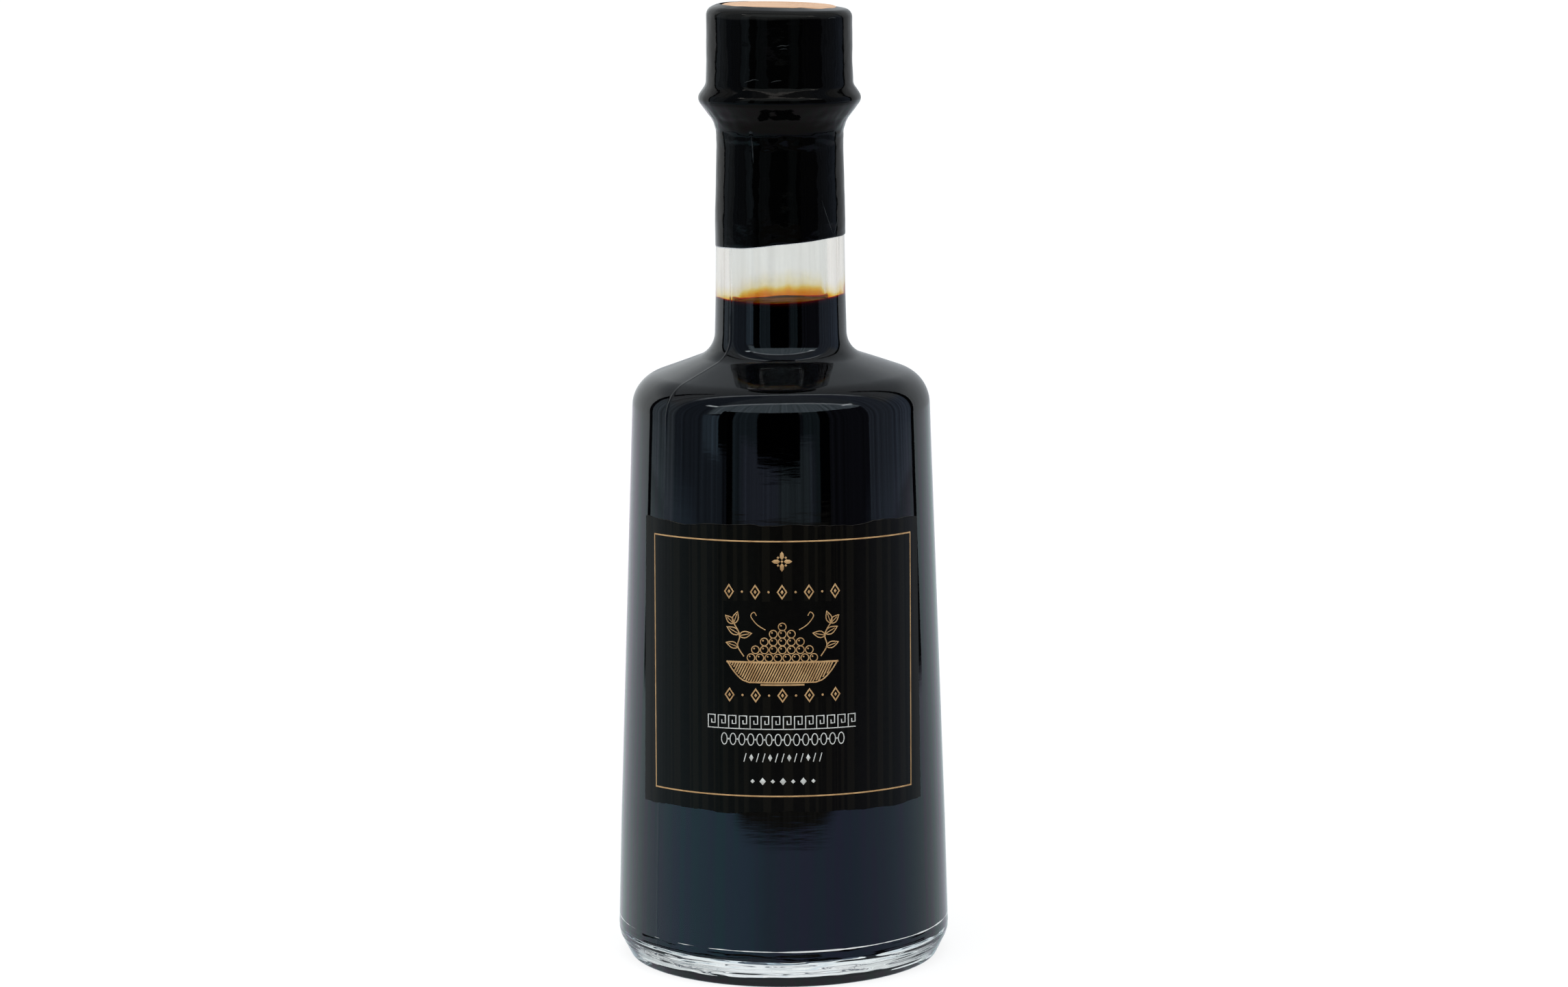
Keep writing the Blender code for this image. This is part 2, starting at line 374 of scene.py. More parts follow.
def shapeGlass(point):
    radius = hypot(point.x, point.y)
    if radius < 1 * mm:
        return point
    if point.z < 1.5 * mm:  # the foot is left flat, and the hollow under it a little pitted
        pits = 0.05 * noise.noise(point / (1.5 * mm)) if point.z > 0.3 * mm else 0
        return point + Vector((0, 0, pits * mm))
    turn = azimuthOf(point)
    split = glass["outsideShare"] * glassRadius(point.z) if point.z < 160 * mm else 11 * mm
    away = Vector((point.x, point.y, 0)) / radius
    wave = noise.noise(point / (11 * mm)) + 0.5 * noise.noise(point / (4 * mm))
    if radius <= split:
        drawn = Vector((point.x, point.y, point.z / 9))  # streaks drawn out along the neck
        streaks = noise.noise(drawn / (2.6 * mm)) if point.z > 120 * mm else 0
        return point + away * ((wave * glass["innerRipple"] + streaks * glass["neckRipple"]) * mm)
    if point.z > 142 * mm:  # hidden under the film
        return point
    lift = wave * glass["ripple"]
    heel = bump(point.z - 3.4 * mm, 2.8 * mm)
    line = Vector((4 * sin(turn), 4 * cos(turn), point.z / (0.75 * mm)))  # the heel's lines run round it
    lift += glass["heelRipple"] * heel * (noise.noise(line) + 0.5 * noise.noise(2.3 * line))
    pitch, depth = glass["heelWave"]
    lift += depth * heel * sin(2 * pi * point.z / (pitch * mm) + 1.5 * noise.noise(line / 3))
    for seam in (glass["seamTurn"], glass["seamTurn"] + pi):
        sideways = turnBetween(turn, seam) * radius
        plain = 0.35 if point.z < 108 * mm or point.z > 128 * mm else 1
        lift += glass["seamHeight"] * plain * bump(sideways, glass["seamWidth"] * mm)
    rise = glass["shoulderRise"] * sin(turn) * bump(point.z - 116 * mm, 5 * mm) * min(1, radius / (20 * mm))
    return point + away * (lift * mm) + Vector((0, 0, rise * mm))


def makeGlassMaterial(name, tint, streakTint):
    values = {"Roughness": 0.0, "Transmission Weight": 1.0, "IOR": glass["ior"]}
    tone = dict(dark=streakTint, light=tint, size=360.0, stretch=(1.0, 1.0, 0.04), softness=0.16)
    ripple = (90.0, 0.000004, 180.0, 0.0000014, (1.0, 1.0, 0.5), (1.0, 1.0, 7.0))
    return simpleMaterial(name, values, tone, ripple)


def makeGlass():
    cavity = roundedOutline(millimetres([*glass["cavity"], (9.7, 166, 0)]))
    heelEnd = next(i for i in range(bodyStart, len(glassOutside)) if glassOutside[i].y > 9 * mm)
    start, end = glassOutside[heelEnd - 1:heelEnd + 1]
    turnUp = start.lerp(end, (8.5 * mm - start.y) / (end.y - start.y))
    heel = evenOutline([*glassOutside[:heelEnd], turnUp], 0.215 * mm)[1:]
    heel = [point for point in heel if point.x > heelStart]
    foot = [point for point in glassOutside[:heelEnd] if point.x <= heelStart]
    outline = evenOutline([*foot, *heel, *glassOutside[heelEnd:], *cavity[-2::-1]], 2.0 * mm)
    beside = [radians(step) for step in (-2.0, -1.25, -0.7, -0.42, -0.2, 0.0, 0.2, 0.42, 0.7, 1.25, 2.0)]
    seams = [glass["seamTurn"] + half + step for half in (0, pi) for step in beside]
    outside = makeGlassMaterial("clearGlass", glass["tint"], glass["streakTint"])
    inside = makeGlassMaterial("clearGlassInside", glass["insideTint"], glass["insideTint"])
    bottle = turnPiece(
        "glassBottle", outline, [outside, inside], glass["segments"], reshape=shapeGlass, extraTurns=seams
    )
    for face in bottle.data.polygons:  # the cavity, and the foot up to its heel
        reach = hypot(face.center.x, face.center.y)
        if face.center.z < 6.5 * mm or reach < glass["outsideShare"] * glassRadius(face.center.z):
            face.material_index = 1
    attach(bottle, "root")
    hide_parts("glass_bottle")


makeGlass()
print("glass made")


# the vinegar, which reaches just into the wall

vinegar = {
    "level": 130.05,
    "levelTilt": 0.028,  # the level stands a little higher on the right
    "intoWall": 0.12,
    "colour": (0.0005, 0.0003, 0.0003, 1.0),
    "lightColour": (0.0011, 0.0006, 0.0004, 1.0),
    # the top's amber, used both as its colour and as its painted glow
    "topDarkAndGlow": (0.020, 0.006, 0.001, 1.0),
    "topColourAndGlow": (0.22, 0.075, 0.010, 1.0),
    "paintedTopGlow": 0.7,
    "floorDark": (0.50, 0.62, 0.70, 1.0),
    "floorLight": (0.92, 0.94, 0.91, 1.0),
    "paintedGlint": (7.05, 0.15),  # height and half width of the painted glint: a broken pale line of painted light that glows round the wall just above the floor
    "paintedGlintColour": (0.80, 0.84, 0.86, 1.0),
    "paintedGlintGlow": 1.0,
    "segments": 144,
}


def levelLean(point):
    share = max(0.0, min(1.0, (point.z / mm - 124) / 5))
    return Vector((point.x, point.y, point.z + point.x * vinegar["levelTilt"] * share))


def makeVinegarSides():
    sides, tree, shader = newMaterial("darkVinegar")
    place = placeOn(tree)
    # the painted glint: a broken line of light painted as a glow just above the liquid's floor
    level, half = vinegar["paintedGlint"]
    thin = ramp(cloud(place, 95.0, 5.0), 0.44, 0.60, high=half * mm, kind="LINEAR")
    lit = calc("GREATER_THAN", thin, abs(axesOf(place)[2] - level * mm))
    values = {
        "Roughness": 0.1,
        "Specular IOR Level": 0.0,
        "Emission Strength": vinegar["paintedGlintGlow"],
        "Emission Color": blend(lit, (0.0, 0.0, 0.0, 1.0), vinegar["paintedGlintColour"]),
        "Base Color": toneOf(tree, vinegar["colour"], vinegar["lightColour"], 40.0, softness=0.3),
    }
    fillIn(shader, values)
    return sides


def makeVinegarTop():
    top, tree, shader = newMaterial("vinegarTop")
    tone = toneOf(tree, vinegar["topDarkAndGlow"], vinegar["topColourAndGlow"], 160.0, (0.5, 2.0, 1.0))
    # the top's amber is both its own colour and a painted glow, standing in for light coming through the
    # surface
    values = {"Roughness": 0.5, "Specular IOR Level": 0.0, "Emission Strength": vinegar["paintedTopGlow"]}
    fillIn(shader, {**values, "Base Color": tone, "Emission Color": tone})
    return top


def makeVinegarFloor():  # a mirror where it is seen at a flat angle, through the heel
    floor, tree, shader = newMaterial("vinegarFloor")
    facing = Signal(addNode(tree, "ShaderNodeLayerWeight", {"Blend": 0.5}).outputs["Facing"])
    tone = toneOf(tree, vinegar["floorDark"], vinegar["floorLight"], 110.0, softness=0.16)
    values = {
        "Roughness": 0.02,
        "Metallic": 1.0,
        "Base Color": blend(ramp(facing, 0.45, 0.6, kind="LINEAR"), vinegar["colour"], tone),
        "Normal": rippleOf(tree, 150.0, 0.00008, 600.0, 0.000008),
    }
    fillIn(shader, values)
    return floor


def makeVinegar():
    cavity = roundedOutline(millimetres([*glass["cavity"], (9.7, vinegar["level"], 0)]))
    sides = evenOutline(offsetOutline(cavity, vinegar["intoWall"] * mm), 2.5 * mm)
    sides[0].x = 0
    top = [Vector((radius * mm, vinegar["level"] * mm)) for radius in (9.6, 9.3, 8, 6, 3, 0)]
    materials = [makeVinegarSides(), makeVinegarTop(), makeVinegarFloor()]
    liquid = turnPiece("vinegarFill", [*sides, *top], materials, vinegar["segments"], reshape=levelLean)
    for face in liquid.data.polygons:
        if face.normal.z > 0.7 and face.center.z > (vinegar["level"] - 1) * mm:
            face.material_index = 1
        if face.normal.z < -0.96 and face.center.z < 9 * mm:
            face.material_index = 2
    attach(liquid, "root")
    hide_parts("vinegar")


makeVinegar()
print("vinegar made")


# the amber smear that vinegar leaves on the wall above its level

smear = {
    "low": 129.6,
    "rim": 1.0,  # how far the liquid climbs the wall in front, and how much further at the sides
    "sideRim": 0.45,
    "backRim": 0.05,
    "high": 137.0,
    "radius": 9.86,
    "thickness": 0.04,
    "through": (0.82, 0.36, 0.016),  # what a full coat lets through of red, green and blue
    "thickening": 22.0,  # coats per millimetre below the rim
    "backCling": 0.62,  # how much more of it clings to the back and the right of the neck
    "rightCling": 0.06,
    "climb": 2.6,  # how far up the coat thins out, and how far the haze
    "hazeClimb": 4.0,
    "haze": 0.18,
    "bare": 0.22,
    "columns": 180,
}


def makeSmearMaterial():
    material, tree, shader = newMaterial("vinegarSmear")
    place = placeOn(tree)
    across, deep, tall = axesOf(place)
    height = tall - across * vinegar["levelTilt"]
    drawn = vectorCalc("MULTIPLY", {0: place, 1: (1.0, 1.0, 0.5)})
    back = ramp(deep, 0.002, 0.0092, high=smear["backCling"])
    right = ramp(across, 0.000, 0.0095, high=smear["rightCling"])
    rim = ramp(deep, -0.001, 0.0075, smear["rim"] * mm, smear["backRim"] * mm)
    sideways = (across * (0.1 / mm)) ** 2.0
    above = height - vinegar["level"] * mm - rim - sideways * (smear["sideRim"] * mm)
    cling = cloud(drawn, 210.0, 6.0) * 1.2 + back + right
    coat = ramp(cling - above * (1 / (smear["climb"] * mm)) - smear["bare"], 0.0, 1.0) ** 1.6
    haze = ramp(cling + 0.1 - above * (1 / (smear["hazeClimb"] * mm)), 0.0, 1.3)
    depth = calc("MAXIMUM", above * (-smear["thickening"] / mm), 0.0)
    coat = coat * 1.3 + haze * smear["haze"] + depth
    shares = {i: calc("POWER", share, coat) for i, share in enumerate(smear["through"])}
    colour = derive("ShaderNodeCombineColor", shares)
    fillIn(shader, {"Roughness": 0.05, "Transmission Weight": 1.0, "IOR": 1.01, "Base Color": colour})
    return material


def makeSmear():
    low, high = smear["low"], smear["high"]
    heights = [low + (high - low) * step / 20 for step in range(21)]
    outer = [Vector((smear["radius"] * mm, height * mm)) for height in heights]
    inside = smear["radius"] - smear["thickness"]
    inner = [Vector((inside * mm, height * mm)) for height in reversed(heights)]

    def drip(point):  # its upper edge runs up and down
        share = max(0.0, (point.z / mm - 132) / (high - 132))
        wander = 0.5 + 0.5 * noise.noise(Vector((point.x, point.y, 0)) / (4 * mm))
        return levelLean(Vector((point.x, point.y, point.z - share * wander * 1.4 * mm)))

    outline = [*outer, *inner]
    material = makeSmearMaterial()
    piece = turnPiece("vinegarSmear", outline, [material], smear["columns"], closed=True, reshape=drip)
    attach(piece, "root")


makeSmear()
print("smear made")


# the shrink capsule over stopper, lip and neck

capsule = {
    "skin": [  # outside of the film, from its cut edge up to the hole in its top
        (12.70, 142.4, 0),
        (12.715, 142.52, 0),
        (12.72, 146.3, 6),
        (12.36, 160.6, 20),
        (12.42, 165.0, 7.0),
        (16.2, 169.95, 1.75),
        (14.36, 172.7, 2.2),
        (14.2, 177.0, 12),
        (14.17, 187.2, 1.7),
        (10.8, 188.0, 0),
    ],
    "film": 0.07,
    "segments": 288,
    "cutSlant": 1.2,
    "headLean": radians(1.3),
    "leanStart": 171.2,
    "top": 188.0,
    "holeShift": -0.9,
    "wrinkle": 0.11,
    "pucker": 0.06,
    "colour": (0.0003, 0.0003, 0.0003, 1.0),
    "lightColour": (0.0008, 0.0008, 0.0008, 1.0),
    "sheenTint": (1.0, 0.87, 0.75, 1.0),
    "paintedSheenBand": (185.75, 186.15),  # from here up the film is painted paler: a painted sheen over the rounded top edge and the top
    "paintedSheenColour": (0.009, 0.009, 0.0085, 1.0),
    "ior": 1.24,
    "lipCrease": (164.0, 0.06),  # height and depth of the crease where the film leaves the lip
    "pimple": (radians(-26.4), 163.0),  # a raised spot and the streak below it
    # the cut edge's pale greys: its own cut face, and a painted highlight along it
    "cutEdgeHighlightDark": (0.25, 0.25, 0.25, 1.0),
    "edgeColour": (0.55, 0.56, 0.56, 1.0),
}


def leanHead(point):
    share = max(0.0, (point.z / mm - capsule["leanStart"]) / (capsule["top"] - capsule["leanStart"]))
    return Vector((point.x, point.y, point.z - point.x * tan(capsule["headLean"]) * share))


def cutLine(turn):  # height of the film's lower edge over its middle, in millimetres
    return capsule["cutSlant"] * sin(turn) + 0.09 * sin(3 * turn + 0.6) + 0.05 * sin(7 * turn + 2)


def shapeFilm(point):
    radius = hypot(point.x, point.y)
    turn = azimuthOf(point)
    away = Vector((point.x, point.y, 0)) / radius
    height = point.z / mm
    moved = point.copy()
    flatPlace = Vector((turn * 7, height / 2.2, 0))
    crease = noise.noise(Vector((turn * 3.5, height / 0.9, 4))) + 0.6 * noise.noise(flatPlace)
    belowLip = bump(height - 165.5, 3.2) + 0.4 * bump(height - 172.0, 1.4)
    broad = noise.noise(point / (4.5 * mm)) + 0.35 * noise.noise(point / (1.6 * mm))
    lift = capsule["wrinkle"] * (0.55 * broad + crease * (0.05 + belowLip))
    puckers = abs(sin(turn * 19 + 3 * noise.noise(Vector((turn * 2, 1, 0)))))
    strength = 0.4 + noise.noise(Vector((turn * 2, 7, 0)))
    lift += capsule["pucker"] * puckers * bump(height - 167.0, 1.2) * strength
    sway = 0.35 * noise.noise(Vector((sin(turn), cos(turn), 3)) * 1.5)
    lift -= capsule["lipCrease"][1] * bump(height - capsule["lipCrease"][0] - sway, 0.45)
    side = turnBetween(turn, capsule["pimple"][0]) * radius / mm
    lift += 0.09 * bump(side, 0.4) * bump(height - capsule["pimple"][1], 0.7)
    lift += 0.035 * bump(side, 0.35) * bump(height - capsule["pimple"][1] + 2.2, 1.8)
    moved += away * (lift * mm)
    if height < 144.5:
        moved.z += cutLine(turn) * mm * (144.5 - height) / 2.1
    if height > 187.0:
        inward = max(0.0, min(1.0, (13.2 - radius / mm) / 2.0))
        moved.x += capsule["holeShift"] * mm * inward
        moved.z += 0.10 * mm * inward * noise.noise(Vector((turn * 3, 2, 0)))
    return leanHead(moved)


def makeFilmMaterials():
    film, tree, shader = newMaterial("blackFilm")
    tone = toneOf(tree, capsule["colour"], capsule["lightColour"], 60.0, softness=0.3)
    place = placeOn(tree)
    sway = calc("MULTIPLY_ADD", cloud(place, 150.0), 0.8 * mm, axesOf(place)[2])
    # the film's colour turns paler over the top along a wavering line: a painted sheen
    low, high = capsule["paintedSheenBand"]
    share = ramp(sway, (low + 0.4) * mm, (high + 0.4) * mm, kind="LINEAR")
    values = {
        "Roughness": 0.07,
        "IOR": capsule["ior"],
        "Specular Tint": capsule["sheenTint"],
        "Base Color": blend(share, tone, capsule["paintedSheenColour"]),
        "Normal": rippleOf(tree, 300.0, 0.00004, 1300.0, 0.000006, (1.0, 1.0, 1.3), (1.0, 1.0, 1.5)),
    }
    fillIn(shader, values)
    # the cut edge is painted pale grey: partly its own cut face, partly a painted highlight
    tone = dict(dark=capsule["cutEdgeHighlightDark"], light=capsule["edgeColour"], size=300.0, middle=0.4, softness=0.1)
    return [film, simpleMaterial("filmCutEdgeHighlight", {"Roughness": 0.5, "IOR": 1.5}, tone)]


def filmSkin():
    return evenOutline(roundedOutline(millimetres(capsule["skin"]), radians(8)), 0.6 * mm)


def makeCapsule():
    skin = filmSkin()
    inside = offsetOutline(skin, -capsule["film"] * mm)
    film = turnPiece(
        "capsuleFilm",
        [*skin, *inside[::-1]],
        makeFilmMaterials(),
        capsule["segments"],
        closed=True,
        reshape=shapeFilm,
        smoothAngle=50,
    )
    firstOfLast = (2 * len(skin) - 1) * capsule["segments"]
    for face in film.data.polygons:  # the cut at the film's lower edge, painted pale: its own cut face with a painted highlight along it
        if face.index >= firstOfLast or face.index < capsule["segments"]:
            face.material_index = 1
    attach(film, "root")
    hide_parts("capsule")


makeCapsule()


# small folds and a blister in the film, each a thin raised line, painted paler than the film: a painted
# highlight along each line

folds = {
    "height": 0.032,
    "colour": (0.003, 0.003, 0.003, 1.0),
    "foldHighlightColour": (0.024, 0.025, 0.024, 1.0),
    "lines": [  # width, then places as (turn, height)
        (0.14, [(-0.04, 180.7), (0.03, 180.95), (0.09, 180.9), (0.14, 181.1)]),
        (0.11, [(0.0, 180.2), (0.06, 180.35), (0.11, 180.3)]),
        (0.14, [(-0.49, 173.8), (-0.42, 174.1), (-0.35, 174.4), (-0.28, 174.3)]),
        (0.12, [(-0.12, 173.9), (-0.05, 174.2), (0.03, 174.3)]),
        (0.15, [(0.69, 151.0), (0.76, 148.7), (0.85, 146.1), (0.94, 143.9)]),
        (0.17, [(1.09, 147.6), (1.05, 146.3), (0.99, 144.8), (0.95, 143.8)]),
        (0.22, [(-0.45, 163.5), (-0.44, 161.5), (-0.43, 159.5), (-0.425, 158.2)]),
        (0.50, [(-0.49, 164.0), (-0.46, 164.15), (-0.43, 164.0)]),
        (0.14, [(0.72, 186.0), (0.79, 186.2), (0.88, 186.1)]),
    ],
}


def makeFolds():
    # the folds' colour is well paler than the film's: a painted highlight along each raised line
    tone = dict(dark=folds["colour"], light=folds["foldHighlightColour"], size=900.0, softness=0.2)
    material = simpleMaterial("foldHighlightFilm", {"Roughness": 0.35, "IOR": 1.4}, tone)
    skin = filmSkin()
    heights, radii = [point.y for point in skin], [point.x for point in skin]
    points, faces = [], []
    profile = [(-0.5, -0.03), (-0.25, 0.7), (0.0, 1.0), (0.25, 0.7), (0.5, -0.03)]
    for width, places in folds["lines"]:
        line = curveThrough(places, 6)
        for i, (turn, height) in enumerate(line):
            before, after = line[max(i - 1, 0)], line[min(i + 1, len(line) - 1)]
            radius = float(np.interp(height * mm, heights, radii))
            run = Vector(((after[0] - before[0]) * radius / mm, after[1] - before[1])).normalized()
            share = max(0.05, 1 - abs(2 * i / (len(line) - 1) - 1) ** 2.5)  # thins out at both ends
            for side, lift in profile:
                aside = Vector((-run.y, run.x)) * width * share * side
                around, up = turn + aside.x * mm / radius, (height + aside.y) * mm
                reach = float(np.interp(up, heights, radii))
                raised = reach + folds["height"] * lift * share * mm
                base = shapeFilm(Vector((reach * sin(around), -reach * cos(around), up)))
                points.append(base + Vector((sin(around), -cos(around), 0)) * (raised - reach))
            if i:
                first = len(points) - 2 * len(profile)
                for k in range(first, first + len(profile) - 1):
                    faces.append((k, k + len(profile), k + len(profile) + 1, k + 1))
    piece = addPiece("filmFolds", points, faces, [material], smoothAngle=180)
    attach(piece, "root")


makeFolds()
print("capsule made")


# the wooden stopper, of which the top shows through the film's hole

stopper = {
    "corners": [
        (0, 149.2, 0),
        (9.0, 149.2, 0.8),
        (9.6, 158.0, 6),
        (9.62, 171.3, 0),
        (13.9, 171.45, 0.6),
        (14.0, 186.85, 1.4),
        (11.7, 187.55, 1.0),
        (10.5, 188.04, 0.8),
        (0, 188.2, 0),
    ],
    "segments": 192,
    "toolMark": 0.02,
    "light": (0.73, 0.47, 0.30, 1.0),
    "dark": (0.58, 0.33, 0.18, 1.0),
    "pore": (0.42, 0.20, 0.10, 1.0),
}


def shapeStopper(point):
    radius = hypot(point.x, point.y) / mm
    moved = point.copy()
    if point.z > 187 * mm and radius > 0.5:  # faint rings left by the lathe
        moved.z += stopper["toolMark"] * mm * sin(radius * 6.5) * bump(radius - 7, 6)
    return leanHead(moved)


def makeWoodMaterial():
    material, tree, shader = newMaterial("turnedWood")
    tone = toneOf(tree, stopper["dark"], stopper["light"], 70.0, (0.35, 6.0, 0.35), 0.47, 0.16)
    pores = toneOf(tree, stopper["pore"], (1.0, 1.0, 1.0, 1.0), 260.0, (0.25, 5.0, 1.0), 0.36, 0.05)
    values = {
        "Roughness": 0.55,
        "IOR": 1.45,
        "Base Color": blend(0.7, tone, pores, "MULTIPLY"),
        "Normal": rippleOf(tree, 300.0, 0.00004, 900.0, 0.00001, (0.2, 3.0, 1.0), (0.2, 2.0, 1.0)),
    }
    fillIn(shader, values)
    return material


def makeStopper():
    outline = evenOutline(roundedOutline(millimetres(stopper["corners"])), 0.25 * mm)
    wood = turnPiece("woodStopper", outline, [makeWoodMaterial()], stopper["segments"], reshape=shapeStopper)
    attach(wood, "root")
    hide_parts("stopper")


makeStopper()
print("stopper made")


# the label: places on it are measured flat, across from its middle and up from the table

label = {
    "left": -31.75,
    "right": 31.6,
    "low": 35.1,
    "high": 90.65,
    "glue": 0.02,
    "paper": 0.13,
    "ribDepth": 0.022,
    "ribArch": 0.006,
    "ribPitch": 1.75,
    "ribSpread": 0.55,
    "calm": (11.4, 57.5, 76.0),  # half width, low, high of the smooth patch behind the picture, where the painted rib sheen is left out
    "deckle": 0.34,
    "rows": 40,
    "ribSeed": 7,
    "colour": (0.0009, 0.0008, 0.0006, 1.0),
    "midColour": (0.0016, 0.0014, 0.0010, 1.0),
    # a painted sheen of the ribs, as a lighter stripe colour
    "ribSheenColour": (0.0042, 0.0036, 0.0024, 1.0),
    "edgeColour": (0.080, 0.072, 0.062, 1.0),
    "sheenTint": (1.0, 0.84, 0.66, 1.0),
    "ior": 1.27,
}

coneSlope = (glassRadius(35 * mm) - glassRadius(91 * mm)) / (56 * mm)
coneSlant = hypot(1, coneSlope)
coneTop = 91 * mm + glassRadius(91 * mm) / coneSlope


def labelPlace(across, up, lift):  # rolls a flat place, all in millimetres, onto the glass
    reach = hypot((coneTop - up * mm) * coneSlant, across * mm)
    turn = asin(across * mm / reach) * coneSlant / coneSlope
    height = coneTop - reach / coneSlant
    radius = glassRadius(height) + lift * mm
    return Vector((radius * sin(turn), -radius * cos(turn), height))


def ribPlaces():
    draw = Random(label["ribSeed"])
    places, heights = [label["left"] - 1], [0.5]
    while places[-1] < label["right"] + 1:
        spread = 1 + label["ribSpread"] * (2 * draw.random() - 1)
        places.append(places[-1] + label["ribPitch"] * spread)
        heights.append(draw.random())
    return places, heights


ribStarts, ribHeights = ribPlaces()


def ribLift(across):
    i = min(max(bisect(ribStarts, across) - 1, 0), len(ribStarts) - 2)
    share = max(0.0, min(1.0, (across - ribStarts[i]) / (ribStarts[i + 1] - ribStarts[i])))
    slope = ribHeights[i] * (1 - share) + ribHeights[i + 1] * share
    return label["ribDepth"] * slope + label["ribArch"] * (1 - (2 * share - 1) ** 2)


def makePaperEdge():
    tone = dict(dark=label["midColour"], light=label["edgeColour"], size=260.0, middle=0.42, softness=0.16)
    return simpleMaterial("paperEdge", {"Roughness": 0.7, "IOR": 1.3}, tone)


def paperFace(across):
    return label["glue"] + label["paper"] + ribLift(across)


def tornEdge(across, shift):
    wander = 0.5 * sin(0.208 * across + shift) + 0.35 * sin(0.367 * across + 2.3 * shift)
    wander += 0.25 * sin(0.72 * across) + 0.5 * noise.noise(Vector((across / 1.7, shift, 0)))
    return label["deckle"] * wander


def makePaperMaterial():
    material, tree, shader = newMaterial("ribbedPaper")
    across, up, _ = axesOf(placeOn(tree, "UV"))
    # vertical stripes painted lighter into the paper's colour: a painted sheen along the ribs, left out over
    # the smooth patch
    paintedSheenStripes = cloud(across, 30.0, dimensions="1D")
    width, tall = label["right"] - label["left"], label["high"] - label["low"]
    halfWidth, *ends = label["calm"]
    half, (low, high) = halfWidth / width, [(end - label["low"]) / tall for end in ends]
    soft = 0.002
    beside = ramp(abs(across - -label["left"] / width), half, half + soft)
    apart = calc("MAXIMUM", beside, ramp(up, low + soft, low))
    apart = calc("MAXIMUM", apart, ramp(up, high, high + soft))
    fibre = toneOf(tree, label["colour"], label["midColour"], 900.0, softness=0.2)
    values = {
        "Roughness": 0.2,
        "IOR": label["ior"],
        "Specular Tint": label["sheenTint"],
        "Base Color": blend(ramp(paintedSheenStripes, 0.50, 0.54) * apart, fibre, label["ribSheenColour"]),
        "Normal": rippleOf(tree, 700.0, 0.000003, 3000.0, 0.0000008),
    }
    fillIn(shader, values)
    return material


def makeLabel():
    columns = [label["left"]]
    for start, end in zip(ribStarts, ribStarts[1:]):
        columns += [start + (end - start) * share for share in (0.0, 0.12, 0.3, 0.5, 0.7, 0.88)]
    columns = sorted(place for place in columns if label["left"] <= place < label["right"]) + [label["right"]]
    rows = [row / label["rows"] for row in range(label["rows"] + 1)]
    points, corners, faces = [], [], []
    for inner in (False, True):
        for row in rows:
            for across in columns:
                low = label["low"] + tornEdge(across, 1.0)
                high = label["high"] + tornEdge(across, 2.6)
                lift = label["glue"] if inner else paperFace(across)
                points.append(labelPlace(across, low + (high - low) * row, lift))
                corners.append(((across - label["left"]) / (label["right"] - label["left"]), row))
    width, count = len(columns), len(columns) * len(rows)
    for row in range(label["rows"]):
        for i in range(width - 1):
            a = row * width + i
            faces.append((a, a + 1, a + 1 + width, a + width))
            faces.append((a + count, a + count + width, a + count + width + 1, a + count + 1))
    rim = list(range(width)) + [row * width + width - 1 for row in range(1, label["rows"])]
    rim += list(range(count - 1, count - 1 - width, -1))
    rim += [row * width for row in range(label["rows"] - 1, 0, -1)]
    for a, b in zip(rim, rim[1:] + rim[:1]):
        faces.append((a, a + count, b + count, b))
    paper = addPiece("frontLabel", points, faces, [makePaperMaterial(), makePaperEdge()], smoothAngle=60)
    for face in paper.data.polygons[-len(rim):]:
        face.material_index = 1
    sheet = paper.data.uv_layers.new(name="flatSheet")
    for loop in paper.data.loops:
        sheet.data[loop.index].uv = corners[loop.vertex_index]
    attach(paper, "root")
    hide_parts("front_label")


makeLabel()
print("label made")


# the print, each ink its own thin foil that follows the paper's ribs

printing = {
    "foil": 0.012,
    "sink": 0.02,
    "frameWidth": 0.27,
    "frameLeft": -28.25,
    "frameRight": 28.65,
    "frameLow": 38.3,
    "frameHigh": 87.65,
    "bowl": (60.4, 64.2),
    "frameFlare": 0.28,  # its top corners stand this much wider
    "gold": (0.56, 0.34, 0.15, 1.0),
    "goldDark": (0.40, 0.22, 0.085, 1.0),
    "cream": (0.62, 0.62, 0.58, 1.0),
    "creamDark": (0.46, 0.46, 0.43, 1.0),
}


def ovalLine(across, up, wide, tall, sides):
    turns = [2 * pi * step / sides for step in range(sides)]
    return [(across + wide * cos(turn), up + tall * sin(turn)) for turn in turns]


def lozengeLine(across, up, wide, tall):
    return [(across + wide, up), (across, up + tall), (across - wide, up), (across, up - tall)]


